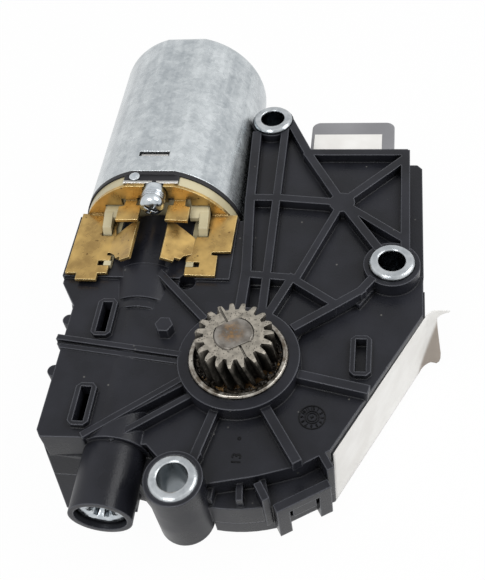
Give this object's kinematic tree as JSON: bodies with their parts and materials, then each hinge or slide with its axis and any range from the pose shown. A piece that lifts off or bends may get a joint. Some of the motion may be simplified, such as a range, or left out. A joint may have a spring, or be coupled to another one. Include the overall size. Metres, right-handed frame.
{
  "type": "sunroof drive motor",
  "caption": "Geared electric motor with a helical pinion that winds a sunroof cable, a ribbed plastic housing and three mounting sleeves.",
  "frame": {"origin": "on the output axis, in the plane of the boss rim under the pinion", "axes": "+Z out along the output shaft, +Y along the motor axis to the closed end of the can, +X away from the motor"},
  "size_m": [0.0931, 0.141, 0.0407],
  "materials": {
    "black_plastic": "moulded, fine grain",
    "gasket_black": "flat sheet",
    "can_steel": "galvanised, mottled",
    "zinc_steel": "zinc plated, bright",
    "brass": "rolled, stamped",
    "cream_nylon": "translucent moulding",
    "tin_strip": "tin plated",
    "sintered_bronze": "oil filled",
    "ferrite": "sintered",
    "ring_steel": "turned",
    "pinion_steel": "sintered steel, worn",
    "shaft_steel": "ground",
    "seal_rubber": "smooth",
    "lid_steel": "pressed sheet",
    "wheel_plastic": "moulded acetal",
    "carbon": "pressed carbon",
    "copper": "enamelled",
    "lamination": "punched sheet stack",
    "board_green": "solder mask",
    "chip_black": "moulded",
    "grey_plastic": "moulded",
    "pin_metal": "plated",
    "label_paper": "printed film left blank"
  },
  "bodies": {
    "housing": {"gear_housing": "black_plastic", "rear_cover": "black_plastic", "motor_can": "can_steel", "end_plate": "gasket_black", "brush_carrier": "cream_nylon", "terminal_plate_left": "brass", "terminal_plate_right": "brass", "clamp_strip": "tin_strip", "carrier_screw": "zinc_steel", "carrier_rivet": "tin_strip", "field_magnets": "ferrite", "can_bearing": "sintered_bronze", "front_bearing": "sintered_bronze", "bearing_ring": "ring_steel", "output_bush": "sintered_bronze", "shaft_seal": "seal_rubber", "gear_lid": "lid_steel", "front_sleeve": "zinc_steel", "side_sleeve": "zinc_steel", "rear_sleeve": "zinc_steel", "tube_plug": "zinc_steel", "thrust_pad": "wheel_plastic", "brush_springs": "shaft_steel", "circuit_board": "board_green", "drive_relays": "chip_black", "control_chip": "chip_black", "hall_sensor": "chip_black", "connector_header": "grey_plastic", "connector_pins": "pin_metal", "side_label": "label_paper", "box_label": "label_paper"},
    "armature": {"armature_shaft": "shaft_steel", "lamination_stack": "lamination", "windings": "copper", "commutator": "copper", "worm": "shaft_steel", "ring_magnet": "ferrite"},
    "output": {"worm_wheel": "wheel_plastic", "output_shaft": "shaft_steel", "pinion": "pinion_steel", "retaining_ring": "ring_steel"},
    "brush_a": {"brush_left": "carbon"},
    "brush_b": {"brush_right": "carbon"}
  },
  "joints": [
    {"name": "armature_spin", "type": "hinge", "parent": "housing", "child": "armature", "pos_m": [-0.0256, 0, -0.0085], "axis": [0, 1, 0], "continuous": true},
    {"name": "output_spin", "type": "hinge", "parent": "housing", "child": "output", "pos_m": [0, 0, 0], "axis": [0, 0, 1], "continuous": true},
    {"name": "left_brush_slide", "type": "slide", "parent": "housing", "child": "brush_a", "axis": [-1, 0, 0], "range_m": [0, 0.0008]},
    {"name": "right_brush_slide", "type": "slide", "parent": "housing", "child": "brush_b", "axis": [1, 0, 0], "range_m": [0, 0.0008]}
  ],
  "couplings": [
    {"joint": "output_spin", "follows": "armature_spin", "ratio": 0.016667}
  ]
}
